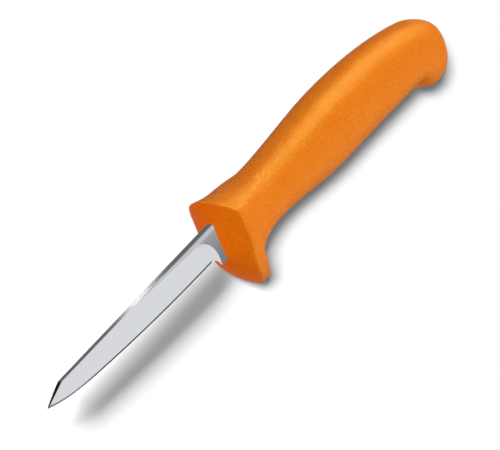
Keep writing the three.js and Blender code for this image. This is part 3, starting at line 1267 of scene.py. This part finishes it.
    def slot_outline(self, grow: float) -> np.ndarray:
        """Spreads points round the slot that the blade stands in.

        Args:
            grow: How much the slot opens at its mouth.

        Returns:
            Heights and places across, in the order of a section's points.
        """
        half = self.slot_width / 2 + self.slot_gap + grow
        top = self.slot_top + self.slot_gap + grow
        bottom = -self.slot_bottom - self.slot_gap - grow
        middle = -self.axis
        ring = [(middle, half), (top, half), (top, 0.0), (top, -half), (middle, -half)]
        ring += [(bottom, -half), (bottom, 0.0), (bottom, half), (middle, half)]
        quarter = self.points // 4
        runs = []
        for start in range(0, len(ring) - 1, 2):
            line = np.array(ring[start : start + 3])
            gone = np.r_[0, np.cumsum(np.linalg.norm(np.diff(line, axis=0), axis=1))]
            at = np.linspace(0, gone[-1], quarter + 1)[:-1]
            corner = np.argmin(np.abs(at - gone[1]))
            if corner:
                at[corner] = gone[1]
            runs.append(np.c_[np.interp(at, gone, line[:, 0]), np.interp(at, gone, line[:, 1])])
        return np.vstack(runs)

    def carrier(self, sections: list[Section]) -> Mesh:
        """Makes the mesh that carries the sections' sizes for the tree.

        Args:
            sections: The sections in order.

        Returns:
            A closed skin, whose points still have to be placed.
        """
        names = ("x", "top", "bottom", "half", "axis", "crown", "upper", "lower", "swept", "slot")
        count = self.points
        columns = {n: np.repeat([getattr(s, n) for s in sections], count) for n in names}
        turned = np.vstack([self.turns(s) for s in sections])
        slots = np.vstack([self.slot_outline(s.slot_grow) for s in sections])
        columns |= {"side": turned[:, 0], "up": turned[:, 1]}
        columns |= {"slot_y": slots[:, 0], "slot_z": slots[:, 1]}
        inner, butt = sections[0], sections[-1]
        poles = ((inner.x, inner.axis), (self.length - self.inside, -self.butt_axis))
        ends = []
        for (x, y), near in zip(poles, (0, -1)):
            end = {name: column[near] for name, column in columns.items()}
            end |= {"x": x, "half": 0.0, "swept": 0.0, "slot": 1.0, "slot_y": y, "slot_z": 0.0}
            ends.append(end)
        total = 2 + len(sections) * count
        mesh = skin_mesh("grip_skin", np.zeros((total, 3)), tube_faces(len(sections), count))
        for name, column in columns.items():
            values = np.r_[ends[0][name], column, ends[1][name]].astype(np.float32)
            mesh.attributes.new(name, "FLOAT", "POINT").data.foreach_set("value", values)
        return mesh

    @staticmethod
    def section_tree(sizes: dict[str, Any]) -> NodeTree:
        """Builds the tree that places each point by the rule of the grip's sections.

        Args:
            sizes: The tree's inputs, which give the guard's sizes and the grip's place.

        Returns:
            The tree.
        """
        tree, given = geometry_tree("grip_sections", sizes)

        def carried(name: str) -> Value:
            """Reads one of the carrier's values."""
            return result(tree, "GeometryNodeInputNamedAttribute", {"Name": name})

        side, up, axis = carried("side"), carried("up"), carried("axis")
        above = up.by("GREATER_THAN", 0.0)
        power = 2.0 / carried("lower").blend(carried("upper"), above)
        across = side.by("SIGN") * side.by("ABSOLUTE").by("POWER", power)
        rise = carried("top") - axis - carried("crown") * across * across
        reach = (axis - carried("bottom")).blend(rise, above)
        high = axis + up.by("SIGN") * reach * up.by("ABSOLUTE").by("POWER", power)
        y = high.blend(carried("slot_y"), carried("slot"))
        z = (carried("half") * across).blend(carried("slot_z"), carried("slot"))
        start = given["Sweep Start"]
        down = (y * -1.0 - start).by("MAXIMUM", 0.0) / (given["Guard Bottom"] - start)
        aside = z * 2.0 / given["Guard Width"]
        run = (carried("x") / given["Blend Length"]).by("MINIMUM", 1.0)
        fade = 1.0 - run * run * (3.0 - run * 2.0)
        back = aside * aside * given["Guard Bow"] + down * down * given["Guard Sweep"]
        x = carried("x") + fade * back * carried("swept")
        spot = result(tree, "ShaderNodeCombineXYZ", {0: x, 1: y, 2: z})
        scale = {0: spot, 1: given["Unit"], 2: given["Place"]}
        scaled = result(tree, "ShaderNodeVectorMath", scale, operation="MULTIPLY_ADD")
        moved = {"Geometry": given["Geometry"], "Position": scaled}
        end_tree(tree, result(tree, "GeometryNodeSetPosition", moved), given["Plastic"])
        return tree

    def build(self) -> Object:
        """Builds the grip from its sections.

        Returns:
            The grip, at its place in the frame.
        """
        sections = [*self.cavity(), *self.front(), *self.body()]
        piece = shown("grip_moulding", self.carrier(sections))
        carried = [a.name for a in piece.data.attributes if a.data_type == "FLOAT"]
        sizes = {
            "Guard Width": self.guard_width,
            "Guard Bottom": self.guard_bottom,
            "Guard Bow": self.guard_bow,
            "Guard Sweep": self.guard_sweep,
            "Sweep Start": self.sweep_start,
            "Blend Length": self.blend_length,
            "Unit": MM,
            "Place": tuple(self.place),
            "Plastic": self.plastic.material(),
        }
        grown(piece, self.section_tree(sizes), sizes)
        for name in carried:
            piece.data.attributes.remove(piece.data.attributes[name])
        return piece

    def dress(self, piece: Object) -> None:
        """Smooths the grip, keeps the hollow's steps and the slot crisp, and keeps it out of mirrors.

        Args:
            piece: The grip.
        """
        piece.data.shade_smooth()
        piece.data.set_sharp_from_angle(angle=self.crisp_angle)
        piece.visible_diffuse = piece.visible_glossy = False


@dataclass
class Core:
    """Hidden inner moulding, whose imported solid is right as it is."""

    plastic: CorePlastic

    def dress(self, node: Object) -> None:
        """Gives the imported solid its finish."""
        node.data.materials.clear()
        node.data.materials.append(self.plastic.material())


@dataclass(frozen=True)
class Grade:
    """A graded filter: a lamp's share of light on the paper by the blade and by the grip.

    The share changes along a line from the blade's shadow to the grip's, from start to end in metres.
    """

    blade_share: float
    grip_share: float
    along: tuple[float, float, float] = (0.69, -0.72, 0.0)
    start: float = -0.002
    end: float = 0.016

    def fit(self, light: Light) -> None:
        """Puts the filter on a lamp.

        Args:
            light: The lamp's light.
        """
        tree = bare_tree(light)
        ray = {
            0: result(tree, "ShaderNodeNewGeometry", output="Incoming"),
            1: result(tree, "ShaderNodeLightPath", output="Ray Length"),
            2: result(tree, "ShaderNodeNewGeometry", output="Position"),
        }
        lit = {0: result(tree, "ShaderNodeVectorMath", ray, operation="MULTIPLY_ADD"), 1: self.along}
        reach = result(tree, "ShaderNodeVectorMath", lit, output="Value", operation="DOT_PRODUCT")
        share = reach.eased(self.start, self.end, self.blade_share, self.grip_share)
        glow = result(tree, "ShaderNodeEmission", {"Strength": share})
        add_node(tree, "ShaderNodeOutputLight", {"Surface": glow})


@dataclass(frozen=True)
class Lamp:
    """A softbox that looks at one point from a direction."""

    name: str
    toward: tuple[float, float, float]
    watts: float
    distance: float = 0.8
    size: tuple[float, float] = (0.5, 0.5)
    lights: Group = Group.GRIP
    shadow_of: Group = Group.GRIP
    colour: str = "#FFFFFF"
    diffuse: bool = True
    glossy: bool = True
    grade: Grade | None = None

    def hang(self, target: Vector, groups: dict[Group, bpy.types.Collection]) -> None:
        """Hangs the lamp.

        Args:
            target: The point that it looks at.
            groups: The things in each group.
        """
        light = bpy.data.lights.new(self.name, "AREA")
        light.shape = "RECTANGLE"
        light.size, light.size_y = self.size
        light.energy = self.watts
        light.color = linear(self.colour)[:3]
        if self.grade:
            self.grade.fit(light)
        lamp = shown(self.name, light)
        lamp.visible_diffuse, lamp.visible_glossy = self.diffuse, self.glossy
        direction = Vector(self.toward).normalized()
        lamp.location = target + direction * self.distance
        lamp.rotation_euler = direction.to_track_quat("Z", "Y").to_euler()
        lamp.light_linking.receiver_collection = groups[self.lights]
        lamp.light_linking.blocker_collection = groups[self.shadow_of]


@dataclass
class Studio:
    """White paper floor, soft lamps and the photograph's camera."""

    paper: FloorPaper
    place: Vector
    floor_half: float = 6.0
    floor_drop: float = 0.00005
    world_colour: str = "#FFFFFF"
    world_light: float = 0.06
    world_shown: float = 1.0
    world_below: float = 0.2
    world_rise: tuple[float, float] = (0.2, 0.5)
    target: tuple[float, float, float] = (0.01, 0.0, 0.009)
    lamps: tuple[Lamp, ...] = (
        Lamp("main", (-0.2, 0.5, 0.84), 6.75, 0.9, (0.45, 0.45)),
        Lamp("strip", (0.64, 0.66, 0.4), 0.9, size=(0.25, 0.3)),
        Lamp("glint", (0.64, 0.64, 0.42), 25.0, size=(0.65, 0.65), colour="#EBFFD5", diffuse=False),
        Lamp("back", (0.85, 0.52, 0.1), 2.8, glossy=False),
        Lamp("belly", (0.35, -0.88, 0.3), 4.4, glossy=False),
        Lamp("front", (-0.82, -0.1, -0.55), 5.0, size=(0.4, 0.4), colour="#FFCB80", glossy=False),
        Lamp("rim", (0.62, -0.6, 0.5), 2.5, colour="#FFE0A0", diffuse=False),
        Lamp("brow", (0.03, 0.77, -0.63), 9.0, colour="#FFDCA8", diffuse=False),
        Lamp("under", (0.0, 0.0, -1.0), 1.5, 1.0, (1.2, 1.2), glossy=False),
        Lamp("under_blade", (0.0, 0.0, -1.0), 1.5, 1.0, (1.2, 1.2), Group.BLADE, Group.KNIFE),
        Lamp(
            "spine", (0.5502, 0.4894, -0.6766), 0.0034, 0.74, (0.016, 0.016), Group.BLADE, Group.KNIFE,
            diffuse=False,
        ),
        Lamp(
            "low_floor", (-0.606, 0.715, 0.348), 1410.0, 8.0, (1.1, 1.1), Group.FLOOR, Group.BLADE,
            grade=Grade(1.0, 0.0),
        ),
        Lamp(
            "high_floor", (-0.629, 0.545, 0.555), 1105.0, 8.0, (1.3, 1.3), Group.FLOOR, Group.GRIP,
            grade=Grade(0.116, 1.0),
        ),
        Lamp(
            "fill_floor", (0.0, 0.0, 1.0), 120.0, 8.0, (1.1, 1.1), Group.FLOOR, Group.FLOOR,
            grade=Grade(1.0, 0.667),
        ),
    )
    camera_place: tuple[float, float, float] = (-0.57204, 0.39358, 0.57270)
    camera_turn: tuple[float, float, float] = (-1.0342, -51.1804, -33.199)
    lens: float = 238.617
    sensor: float = 36.0

    def lay_floor(self) -> Object:
        """Lays the paper.

        Returns:
            The floor, hidden from diffuse and mirror rays.
        """
        half, low = self.floor_half, -self.floor_drop
        corners = [(-half, -half, low), (half, -half, low), (half, half, low), (-half, half, low)]
        mesh = bpy.data.meshes.new("paper_floor")
        mesh.from_pydata(corners, [], [(0, 1, 2, 3)])
        mesh.materials.append(self.paper.material())
        floor = shown("paper_floor", mesh)
        floor.visible_diffuse = floor.visible_glossy = False
        return floor

    def light_world(self) -> None:
        """Makes a world that is white to the camera, and white above and dark below in a mirror."""
        world = bpy.data.worlds.new("white_room")
        bpy.context.scene.world = world
        tree = bare_tree(world)
        toward = result(tree, "ShaderNodeTexCoord", output="Object")
        height = result(tree, "ShaderNodeSeparateXYZ", {0: toward}, output=2)
        rise = height.eased(*self.world_rise, self.world_below, self.world_shown)
        rays = ("Is Camera Ray", "Is Glossy Ray")
        camera, mirrored = (result(tree, "ShaderNodeLightPath", output=ray) for ray in rays)
        strength = (camera * self.world_shown).by("MAXIMUM", rise * mirrored)
        strength = strength.by("MAXIMUM", self.world_light)
        shine = {"Color": linear(self.world_colour), "Strength": strength}
        sky = result(tree, "ShaderNodeBackground", shine)
        add_node(tree, "ShaderNodeOutputWorld", {"Surface": sky})

    def set_camera(self) -> None:
        """Sets the camera at the photograph's angle."""
        data = bpy.data.cameras.new("photo_camera")
        data.lens, data.sensor_width = self.lens, self.sensor
        camera = shown("photo_camera", data)
        camera.location = self.place + Vector(self.camera_place)
        camera.rotation_euler = Euler([math.radians(a) for a in self.camera_turn])
        bpy.context.scene.camera = camera

    def build(self, pieces: dict[Group, list[Object]]) -> None:
        """Sets up the floor, the lamps and the camera.

        Args:
            pieces: The knife's pieces in each group.
        """
        bpy.context.scene.view_settings.view_transform = "Standard"
        groups = {}
        for group, things in {**pieces, Group.FLOOR: [self.lay_floor()]}.items():
            groups[group] = bpy.data.collections.new(f"{group.value}_group")
            for thing in things:
                groups[group].objects.link(thing)
        for lamp in self.lamps:
            lamp.hang(Vector(self.target), groups)
        self.light_world()
        self.set_camera()


def knife_place() -> Vector:
    """Finds where the knife's own zero lies in the frame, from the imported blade.

    Returns:
        The point where the spine leaves the guard, in metres.
    """
    low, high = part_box(Solid.BLADE.value)
    return Vector((low.x + Blade.length * MM, high.y, (low.z + high.z) / 2))


def keep_piece(piece: Object, solid: Solid) -> None:
    """Ties a finished piece to the frame and reports it.

    Args:
        piece: The piece.
        solid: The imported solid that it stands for.
    """
    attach(piece, ROOT_BODY)
    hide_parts(solid.value)
    log.info("%s: %d faces", piece.name, len(piece.data.polygons))


def write_sizes() -> None:
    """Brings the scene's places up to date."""
    bpy.context.view_layer.update()


def main() -> None:
    """Builds the knife and the studio in order."""
    logging.basicConfig(level=logging.INFO, format="%(message)s")
    place = knife_place()
    blade = Blade(BladeSteel(), place)
    blade_piece = blade.build()
    blade.dress(blade_piece)
    keep_piece(blade_piece, Solid.BLADE)
    grip = Grip(GripPlastic(), place)
    grip_piece = grip.build()
    grip.dress(grip_piece)
    keep_piece(grip_piece, Solid.GRIP)
    core_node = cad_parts[Solid.CORE.value]
    Core(CorePlastic()).dress(core_node)
    log.info("%s: packed solid kept", core_node.name)
    pieces = {
        Group.KNIFE: [blade_piece, grip_piece, core_node],
        Group.BLADE: [blade_piece],
        Group.GRIP: [grip_piece],
    }
    Studio(FloorPaper(), place).build(pieces)
    write_sizes()


if __name__ == "__main__":
    main()
